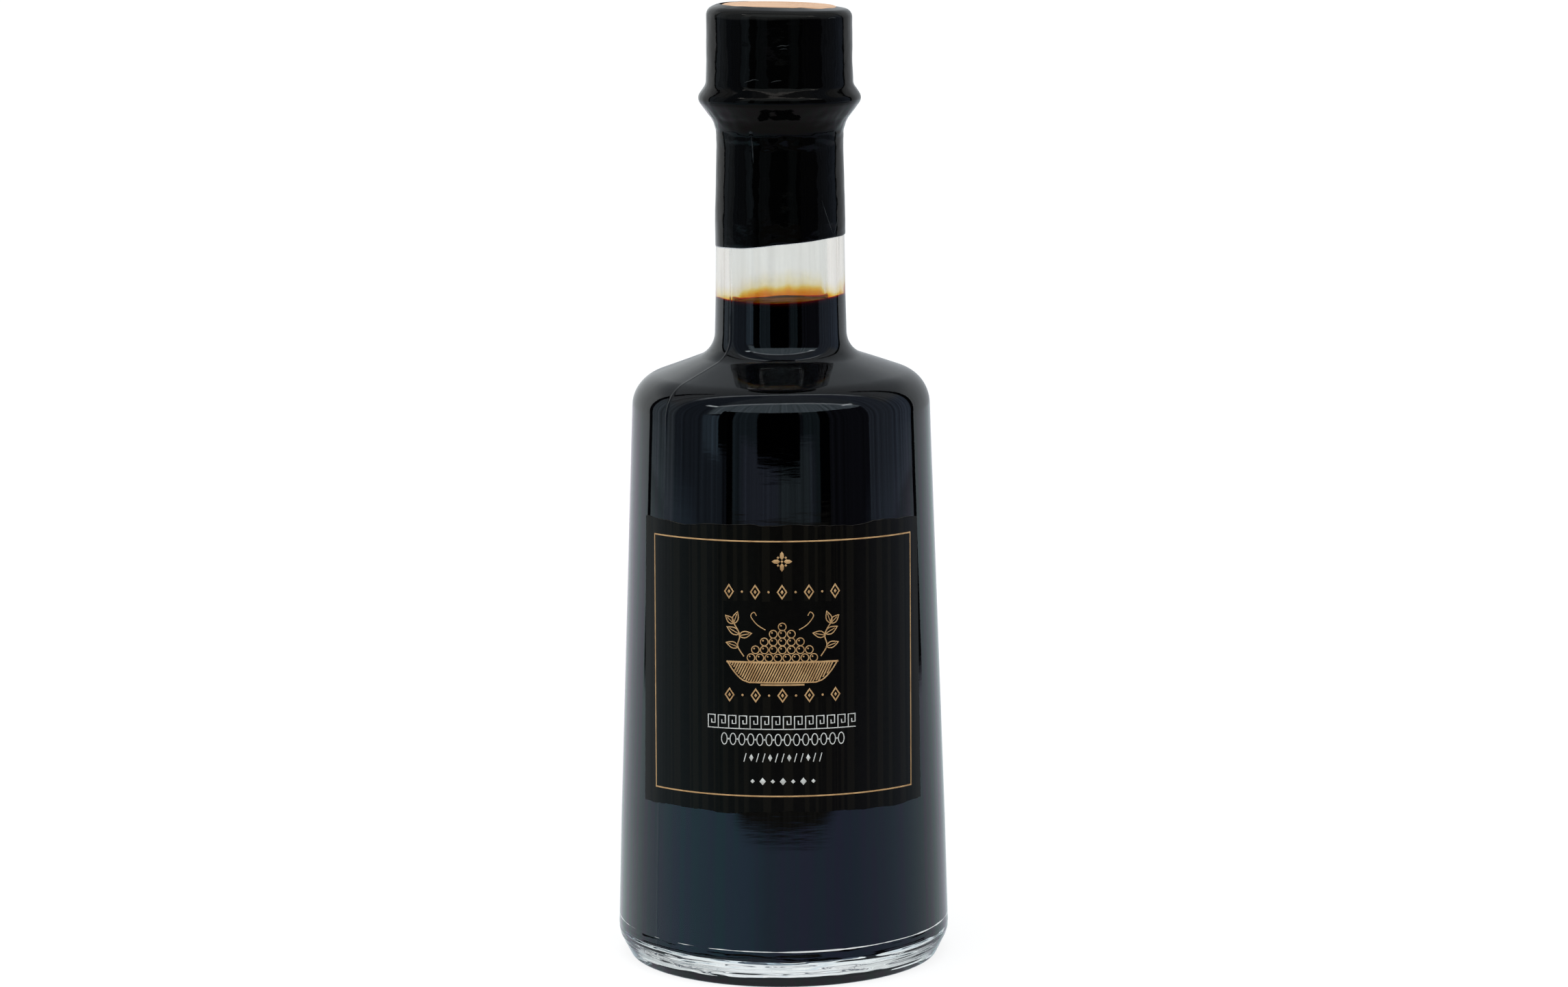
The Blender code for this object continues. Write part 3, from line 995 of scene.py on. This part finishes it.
class FlatPrint:  # gathers flat shapes of one ink
    def __init__(self):
        self.mesh = bmesh.new()

    def shape(self, outline):
        self.mesh.faces.new([self.mesh.verts.new((across, up, 0)) for across, up in outline])

    def disc(self, across, up, radius, tall=None, sides=24):
        self.shape(ovalLine(across, up, radius, tall or radius, sides))

    def lozenge(self, across, up, wide, tall):
        self.shape(lozengeLine(across, up, wide, tall))

    def stroke(self, line, width, taper=0.0, closed=False):  # a line of quads with a width
        count = len(line)
        sides = []
        for i, place in enumerate(line):
            before = line[i - 1] if closed or i else line[0]
            after = line[(i + 1) % count] if closed or i < count - 1 else line[-1]
            run = (Vector(after) - Vector(before)).normalized()
            share = 1 - taper * abs(2 * i / (count - 1) - 1) ** 2 if taper else 1
            side = Vector((-run.y, run.x)) * width * share / 2
            if closed or 0 < i < count - 1:  # keeps the width round a corner
                leg = (Vector(place) - Vector(before)).normalized()
                side /= max(0.5, abs(leg.dot(run)))
            edges = (Vector(place) + side, Vector(place) - side)
            sides.append([self.mesh.verts.new((*edge, 0)) for edge in edges])
        pairs = list(zip(sides, sides[1:])) + ([(sides[-1], sides[0])] if closed else [])
        for (a, b), (c, d) in pairs:
            self.mesh.faces.new((b, d, c, a))

    def ring(self, across, up, radius, width, tall=None, sides=28):
        self.stroke(ovalLine(across, up, radius, tall or radius, sides), width, closed=True)

    def layDown(self, name, material):
        lows = min(point.co.x for point in self.mesh.verts)
        highs = max(point.co.x for point in self.mesh.verts)
        cuts = []
        for start, end in zip(ribStarts, ribStarts[1:]):
            cuts += [start, 0.7 * start + 0.3 * end, 0.3 * start + 0.7 * end]
        for across in cuts:
            if lows < across < highs:
                every = self.mesh.verts[:] + self.mesh.edges[:] + self.mesh.faces[:]
                bmesh.ops.bisect_plane(
                    self.mesh, geom=every, plane_co=(across, 0, 0), plane_no=(1, 0, 0), dist=1e-4
                )
        bmesh.ops.triangulate(self.mesh, faces=[face for face in self.mesh.faces if len(face.verts) > 4])
        bmesh.ops.recalc_face_normals(self.mesh, faces=self.mesh.faces)
        for face in self.mesh.faces:
            if face.normal.z < 0:
                face.normal_flip()
        for point in self.mesh.verts:
            across, up = point.co.x, point.co.y
            point.co = labelPlace(across, up, paperFace(across) + printing["foil"])
        mesh = bpy.data.meshes.new(name)
        self.mesh.to_mesh(mesh)
        self.mesh.free()
        mesh.shade_smooth()
        mesh.materials.append(material)
        piece = addObject(name, mesh)
        thickness = piece.modifiers.new("foil", "SOLIDIFY")
        thickness.thickness = (printing["foil"] + printing["sink"]) * mm
        thickness.offset = -1.0
        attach(piece, "root")


def makeInk(name, dark, light, metallic, roughness):
    values = {"Roughness": roughness, "Metallic": metallic, "IOR": 1.45}
    tone = dict(dark=dark, light=light, size=700.0, stretch=(1.0, 1.0, 0.5), middle=0.45, softness=0.2)
    return simpleMaterial(name, values, tone, (1200.0, 0.000004, 4000.0, 0.000001))


def mirrored(line):
    return [(-across, up) for across, up in line]


def printFrame(gold):
    flare, low, high = printing["frameFlare"], printing["frameLow"], printing["frameHigh"]
    left, right = printing["frameLeft"], printing["frameRight"]
    corners = [(left + flare, low), (right - flare, low), (right + flare, high), (left - flare, high)]
    line = []
    for start, end in zip(corners, corners[1:] + corners[:1]):
        line += [
            (start[0] + (end[0] - start[0]) * step / 40, start[1] + (end[1] - start[1]) * step / 40)
            for step in range(40)
        ]
    gold.stroke(line, printing["frameWidth"], closed=True)


def printRosette(gold, up):  # four petals with a small lozenge between each pair
    for quarter in range(4):
        turn = quarter * pi / 2
        petal = [(0.32, 0), (0.8, 0.42), (1.5, 0.34), (1.95, 0), (1.5, -0.34), (0.8, -0.42)]
        gold.shape([(x * cos(turn) - y * sin(turn), up + x * sin(turn) + y * cos(turn)) for x, y in petal])
        gold.lozenge(1.05 * cos(turn + pi / 4), up + 1.05 * sin(turn + pi / 4), 0.26, 0.26)
    gold.disc(0, up, 0.22)


def centred(count, spacing):
    return [(i - (count - 1) / 2) * spacing for i in range(count)]


def printLozengeRow(gold, up, count, spacing, wide, tall):
    for i, across in enumerate(centred(count, spacing)):
        gold.stroke(lozengeLine(across, up, wide, tall), 0.26, closed=True)
        gold.lozenge(across, up, 0.34 * wide, 0.34 * tall)
        if i:
            gold.disc(across - spacing / 2, up, 0.22)


def printLeaf(gold, stem, tip, plump):  # an outlined leaf with a middle vein
    run = Vector(tip) - Vector(stem)
    side = Vector((-run.y, run.x)) * plump
    upper = [Vector(stem) + run * s + side * sin(pi * s**0.8) for s in (0, 0.15, 0.35, 0.55, 0.75, 0.9, 1)]
    lower = [Vector(stem) + run * s - side * sin(pi * s**0.8) for s in (0.9, 0.75, 0.55, 0.35, 0.15)]
    gold.stroke([tuple(place) for place in upper + lower], 0.2, closed=True)
    gold.stroke([tuple(Vector(stem) + run * s) for s in (0.08, 0.3, 0.55, 0.8)], 0.16)


def bowlHalf(up):  # half the bowl's width at a height
    low, high = printing["bowl"]
    share = max(0.0, min(1.0, (up - low) / (high - low)))
    return 6.4 + 4.2 * share**0.55


def printBowl(gold):  # hatched all over: slanted bars, close together
    low, high = printing["bowl"]
    steps = 12
    for i in range(-22, 23):
        for step in range(steps):
            bottom = low + (high - low) * step / steps
            top = low + (high - low) * (step + 1) / steps
            leans = [0.52 * i + 0.5 * (up - low) - 1.0 for up in (bottom, top)]
            if max(abs(leans[0]), abs(leans[1])) + 0.2 > bowlHalf(bottom):
                continue
            ends = [(leans[0] - 0.15, bottom), (leans[0] + 0.15, bottom)]
            gold.shape([*ends, (leans[1] + 0.15, top), (leans[1] - 0.15, top)])
    edge = [(bowlHalf(low + (high - low) * step / 10), low + (high - low) * step / 10) for step in range(11)]
    gold.stroke([*mirrored(edge)[::-1], *edge], 0.26)
    gold.stroke([(-10.9, high + 0.1), (10.9, high + 0.1)], 0.36)
    gold.stroke([(-4.2, low - 0.45), (4.2, low - 0.45)], 0.3)


def printFruit(gold):  # a heap of grapes between two sprigs
    heap = [(65.2, 8), (66.75, 7), (68.3, 5), (69.8, 3), (71.2, 1)]
    for up, count in heap:
        for across in centred(count, 1.72):
            gold.ring(across, up, 0.74, 0.19)
            gold.disc(across - 0.24, up + 0.24, 0.17, sides=10)
    sprig = [(7.4, 65.4), (8.6, 67.4), (8.2, 69.6), (9.4, 71.8)]
    tendril = [(3.2, 70.6), (4.8, 71.6), (6.0, 73.2), (5.4, 74.0), (4.9, 73.3)]
    leaves = [  # stem, tip, plumpness
        ((8.5, 67.2), (10.9, 68.0), 0.24),
        ((8.3, 69.4), (5.9, 69.9), 0.26),
        ((8.3, 69.7), (10.7, 71.0), 0.24),
        ((9.4, 71.7), (8.6, 74.0), 0.24),
        ((9.4, 71.7), (11.0, 73.2), 0.26),
    ]
    for flip in (list, mirrored):
        gold.stroke(flip(curveThrough(sprig)), 0.22)
        gold.stroke(flip(curveThrough(tendril, 8)), 0.18)
        for stem, tip, plump in leaves:
            printLeaf(gold, *flip([stem, tip]), plump)


def printMeander(cream, up, halfWidth, tall, turns):  # a running key border
    pitch = 2 * halfWidth / turns
    for i in range(turns):
        left = -halfWidth + i * pitch
        key = [(0.06, -0.5), (0.06, 0.5), (0.74, 0.5), (0.74, -0.12), (0.40, -0.12), (0.40, 0.16)]
        cream.stroke([(left + x * pitch, up + y * tall) for x, y in key], 0.2)
    cream.stroke([(-halfWidth, up - 0.5 * tall), (halfWidth - 0.2 * pitch, up - 0.5 * tall)], 0.18)


def spreadOut(halfWidth, count):
    pitch = 2 * halfWidth / count
    return pitch, [-halfWidth + (i + 0.5) * pitch for i in range(count)]


def printChain(cream, up, halfWidth, count, tall):  # ovals with a dot between each pair
    pitch, places = spreadOut(halfWidth, count)
    for i, across in enumerate(places):
        cream.ring(across, up, 0.33 * pitch, 0.18, tall=tall / 2)
        if i:
            cream.disc(across - 0.5 * pitch, up, 0.17, sides=10)


def printBars(cream, up, halfWidth, count, tall):  # slanted bars, every third one a lozenge
    pitch, places = spreadOut(halfWidth, count)
    for i, across in enumerate(places):
        if i % 3 == 1:
            cream.lozenge(across, up, 0.34 * pitch, 0.42 * tall)
            continue
        cream.stroke([(across - 0.2 * pitch, up - tall / 2), (across + 0.2 * pitch, up + tall / 2)], 0.18)


def makePrint():
    gold, cream = FlatPrint(), FlatPrint()
    printFrame(gold)
    printRosette(gold, 83.8)
    printLozengeRow(gold, 77.9, 5, 5.15, 0.85, 1.25)
    printBowl(gold)
    printFruit(gold)
    printLozengeRow(gold, 57.9, 5, 5.15, 0.85, 1.2)
    printMeander(cream, 52.6, 14.9, 2.5, 14)
    printChain(cream, 49.3, 12.3, 14, 2.2)
    printBars(cream, 45.8, 7.9, 13, 1.7)
    for i in range(7):
        cream.lozenge((i - 3) * 1.95, 41.2, 0.62 if i % 2 else 0.42, 0.72 if i % 2 else 0.42)
    gold.layDown("goldPrint", makeInk("goldInk", printing["goldDark"], printing["gold"], 0.15, 0.42))
    cream.layDown("creamPrint", makeInk("creamInk", printing["creamDark"], printing["cream"], 0.0, 0.5))


makePrint()
print("print laid down")


# the studio: a pale floor, a soft light above, and the panels that gloss mirrors

studio = {
    "floorHalf": 9.0,
    "floorColour": (0.165, 0.165, 0.163, 1.0),
    "floorTint": (0.16, 0.16, 0.16, 1.0),
    "floorGlow": 0.86,
    "sunStrength": 2.6,
    "sunSpread": radians(80),
    "sunTilt": (radians(12), radians(-8)),
    "paleSky": (1.0, 1.0, 1.0, 1.0),
    "sideSky": (0.77, 0.78, 0.77, 1.0),  # the backdrop's sides, seen through the glass
    "dimSky": (0.11, 0.13, 0.16, 1.0),  # what the glass bends far up or down
    "pleatPitch": 2.9,  # the drapes round the set, in degrees
    "pleatDepth": 1.5,
    "frontTone": (0.07, 0.085, 0.115, 1.0),
    "ceilingTone": (0.36, 0.39, 0.42, 1.0),
    "nearTableTone": (0.45, 0.49, 0.54, 1.0),
    "tableCasts": ((0.92, 1.04, 0.98, 1.0), (1.06, 0.93, 1.02, 1.0)),  # two colours that cloud the table
    "tableStart": -9.2,  # below this angle the table shows in front, in degrees
    "tableSideStart": -5.4,
}

sidePanels = [  # name, azimuth, half width, lowest, highest, edge, colour; in degrees, 0 is in front
    ("backdropLeft", -152, 32, -90, 90, 3, (0.70, 0.74, 0.76)),
    ("backdropRight", 152, 32, -90, 90, 3, (0.50, 0.53, 0.56)),
    ("wallLeft", -103, 14, -90, 90, 4, (0.31, 0.38, 0.45)),
    ("wallRight", 106, 14, -90, 90, 4, (0.22, 0.28, 0.39)),
    ("dimLeft", -75, 13, -90, 90, 4, (0.13, 0.17, 0.23)),
    ("doorRight", 82, 11, -90, 90, 1.5, (0.21, 0.26, 0.35)),
    ("dimRight", 54, 16.5, -90, 30.5, 1.0, (0.055, 0.06, 0.085)),
    ("windowFoot", -55, 8.0, -6, -4.9, 3, (0.15, 0.20, 0.27)),
    ("windowLeft", -55, 5.0, -4.9, 16, 4.0, (0.31, 0.45, 0.60)),
    ("stripLeft", -28, 9, -90, 30.5, 1.0, (0.13, 0.19, 0.24)),
    ("stripRight", 24, 7, -90, 30.5, 1.0, (0.10, 0.15, 0.18)),
    ("frontLow", -3, 24, -5.6, -4.65, 7, (0.24, 0.29, 0.41)),
    ("frontLowWarm", 10, 9, -5.6, -4.65, 6, (0.23, 0.31, 0.36)),
    ("cameraShade", -2, 15.5, -4.65, 30.5, 1.5, (0.003, 0.003, 0.005)),
    ("gapLeftTop", -45, 3.5, -4.7, 30.5, 1.0, (0.01, 0.012, 0.014)),
    ("gapLeft", -39.8, 1.8, -90, 30.5, 1.0, (0.004, 0.004, 0.006)),
    ("gapRight", 33.3, 3.3, -90, 30.5, 1.0, (0.006, 0.006, 0.010)),
    ("underShade", 0, 30, -9.25, -5.7, 12, (0.10, 0.10, 0.09)),
    ("skirtLeft", -80, 40, -7.5, -6.9, 1, (0.05, 0.055, 0.06)),
    ("skirtRight", 84, 37, -7.5, -6.9, 1, (0.04, 0.045, 0.05)),
    ("lampLeft", -66, 4.0, 39, 42, 2.5, (6.0, 6.4, 6.8)),
    ("lampRight", 62, 4.0, 39, 42, 2.5, (5.0, 5.3, 5.6)),
]

slits = [  # dark gaps between the drapes, which also show over the table
    ("slitLeft", -119.5, 1.7, -9.2, 60, 0.9, (0.012, 0.013, 0.018)),
    ("slitRight", 121, 1.8, -9.2, 60, 0.9, (0.010, 0.011, 0.014)),
    ("tableEdge", 0, 116, -17.2, -14.4, 3, (0.05, 0.055, 0.065)),
]

overheadPanels = [  # the same, but measured from the front over the top, and how far to the side
    ("skyHigh", 74, 20, -60, 60, 6, (0.26, 0.31, 0.37)),
    ("skylight", 47, 14.5, -64, 60, 2, (0.76, 0.95, 1.08)),
    ("tubeFront", 61, 1.4, -40, 40, 0.9, (2.2, 2.4, 2.6)),
    ("tubeBack", 94, 1.3, -34, 30, 0.8, (1.4, 1.5, 1.6)),
]

tableMirror = [  # azimuth, colour: what the table in front shows in the glass
    (-180, (0.84, 0.87, 0.90)),
    (-120, (0.70, 0.79, 0.87)),
    (-75, (0.45, 0.74, 1.00)),
    (-25, (0.34, 0.63, 0.88)),
    (-12, (0.33, 0.46, 0.71)),
    (45, (0.31, 0.40, 0.65)),
    (90, (0.40, 0.52, 0.72)),
    (125, (0.53, 0.60, 0.67)),
    (180, (0.76, 0.82, 0.86)),
]


def makePanelGroup():  # elevation is how far to the side, for the overhead panels
    inputs = {"Azimuth": 0.0, "Elevation": 0.0, "Under": (0.0, 0.0, 0.0, 1.0), "Middle": 0.0}
    inputs |= {"Half Width": 10.0, "Lowest": -90.0, "Highest": 90.0, "Edge": 2.0, "End Edge": 0.15}
    group, given, out = newGroup("softPanel", {**inputs, "Colour": (1.0, 1.0, 1.0, 1.0)}, "Over", "Color")
    away = abs(given["Azimuth"] - given["Middle"])
    wrapped = calc("MINIMUM", away, 360.0 - away)
    inside = ramp(wrapped, given["Half Width"] + given["Edge"], given["Half Width"])
    over = ramp(given["Elevation"], given["Lowest"] - given["End Edge"], given["Lowest"])
    under = ramp(given["Elevation"], given["Highest"] + given["End Edge"], given["Highest"])
    fillIn(out, {"Over": blend(inside * over * under, given["Under"], given["Colour"])})
    return group


def hangPanels(group, colour, panels, along, across, endEdge):
    for name, middle, halfWidth, lowest, highest, edge, tone in panels:
        values = {"Azimuth": along, "Elevation": across, "Under": colour, "End Edge": endEdge}
        values |= {"Middle": middle, "Half Width": halfWidth, "Lowest": lowest, "Highest": highest}
        values |= {"Edge": edge, "Colour": (*tone, 1.0)}
        colour = placeGroup(along.tree, group, values, label=name)
    return colour


def mirroredTable(direction, azimuth, elevation):
    around = addNode(azimuth.tree, "ShaderNodeValToRGB", {0: (azimuth + 180.0) / 360.0})
    stops = around.color_ramp.elements
    stops[0].position, stops[0].color = 0.0, (*tableMirror[0][1], 1.0)
    stops[1].position, stops[1].color = 1.0, (*tableMirror[-1][1], 1.0)
    for place, tone in tableMirror[1:-1]:
        stops.new((place + 180) / 360).color = (*tone, 1.0)
    mirror = blend(ramp(elevation, -12.5, -32.0), Signal(around.outputs[0]), studio["nearTableTone"])
    cast = blend(ramp(cloud(direction, 11.0, 5.0), 0.38, 0.62), *studio["tableCasts"])
    return vectorCalc("MULTIPLY", {0: mirror, 1: cast})


def degreesOf(operation, *values):
    return calc("DEGREES", calc(operation, *values))


def makeWorld():
    world = bpy.data.worlds.new("lightTent")
    bpy.context.scene.world = world
    world.use_nodes = True
    tree = world.node_tree
    direction = placeOn(tree, "Generated")
    right, back, up = axesOf(direction)
    front = back * -1.0
    azimuth, elevation = degreesOf("ARCTAN2", right, front), degreesOf("ARCSINE", up)
    pitch, sideways = degreesOf("ARCTAN2", up, front), degreesOf("ARCSINE", right)
    beside = abs(azimuth)
    group = makePanelGroup()
    colour = blend(ramp(elevation, 22.0, 34.0), studio["frontTone"], studio["ceilingTone"])
    colour = hangPanels(group, colour, sidePanels[:4], azimuth, elevation, 0.3)
    colour = blend(ramp(elevation, 20.0, 36.0), colour, studio["ceilingTone"])
    colour = hangPanels(group, colour, overheadPanels, pitch, sideways, 16.0)
    colour = hangPanels(group, colour, sidePanels[4:], azimuth, elevation, 0.3)
    pleats = cloud(azimuth / studio["pleatPitch"], 1.0, 3.0, "1D") - 0.5
    pleats = pleats * (ramp(beside, 138.0, 112.0) * studio["pleatDepth"])
    colour = vectorCalc("SCALE", {0: colour, "Scale": calc("ADD", 1.0, pleats)})
    aside = ramp(beside, 25.0, 75.0)
    start = calc("ADD", studio["tableStart"], aside * (studio["tableSideStart"] - studio["tableStart"]))
    table = ramp(elevation, start, start - calc("ADD", 0.5, aside * 2.5))
    colour = blend(table, colour, mirroredTable(direction, azimuth, elevation))
    colour = hangPanels(group, colour, slits, azimuth, elevation, 0.6)
    through = blend(ramp(beside, 112.0, 140.0), colour, studio["sideSky"])
    through = blend(ramp(beside, 158.0, 170.0), through, studio["paleSky"])  # the backdrop is white
    through = blend(ramp(abs(elevation), 13.0, 21.0), through, studio["dimSky"])
    rays = addNode(tree, "ShaderNodeLightPath", {}).outputs
    colour = blend(Signal(rays["Is Transmission Ray"]), colour, through)
    colour = blend(Signal(rays["Is Camera Ray"]), colour, studio["paleSky"])
    fillIn(tree.nodes["Background"], {"Color": colour, "Strength": 1.0})


def makeFloor():
    half = studio["floorHalf"]
    corners = [(-half, -half, 0), (half, -half, 0), (half, half, 0), (-half, half, 0)]
    values = {"Roughness": 0.9, "Specular IOR Level": 0.0, "Emission Strength": studio["floorGlow"]}
    values["Emission Color"] = (1.0, 1.0, 1.0, 1.0)
    tone = dict(dark=studio["floorTint"], light=studio["floorColour"], size=2.0, softness=0.4)
    material = simpleMaterial("paleFloor", values, tone)
    material.cycles.emission_sampling = "NONE"
    floor = addPiece("studioFloor", corners, [(0, 1, 2, 3)], [material])
    floor.visible_glossy = False  # the panels stand in for the table in what the glass mirrors


def makeLight():
    sun = bpy.data.lights.new("softTop", "SUN")
    sun.energy = studio["sunStrength"]
    sun.angle = studio["sunSpread"]
    lamp = addObject("softTop", sun)
    lamp.rotation_euler = (*studio["sunTilt"], 0)
    lamp.visible_glossy = False


photoView = {
    "place": (0.0, -893.6, 237.1),
    "tiltDown": 9.22,
    "lens": 105.49,
    "yaw": -0.031,
    "roll": -0.286,
}


def makeCamera():
    data = bpy.data.cameras.new("photoCamera")
    data.lens = photoView["lens"]
    data.sensor_width = 36.0
    data.clip_start = 0.05
    data.clip_end = 40.0
    camera = addObject("photoCamera", data)
    turned = (
        Matrix.Rotation(radians(photoView["yaw"]), 4, "Z")
        @ Matrix.Rotation(radians(90 - photoView["tiltDown"]), 4, "X")
        @ Matrix.Rotation(radians(photoView["roll"]), 4, "Z")
    )
    camera.matrix_world = Matrix.Translation(Vector(photoView["place"]) * mm) @ turned
    bpy.context.scene.camera = camera


def setQuality():
    scene = bpy.context.scene
    scene.view_settings.view_transform = "Standard"
    scene.cycles.max_bounces = 20
    scene.cycles.transmission_bounces = 20
    scene.cycles.glossy_bounces = 12
    scene.cycles.transparent_max_bounces = 16
    scene.cycles.caustics_reflective = False
    scene.cycles.caustics_refractive = False
    scene.cycles.use_denoising = True


makeWorld()
makeFloor()
makeLight()
makeCamera()
setQuality()
print("studio ready")
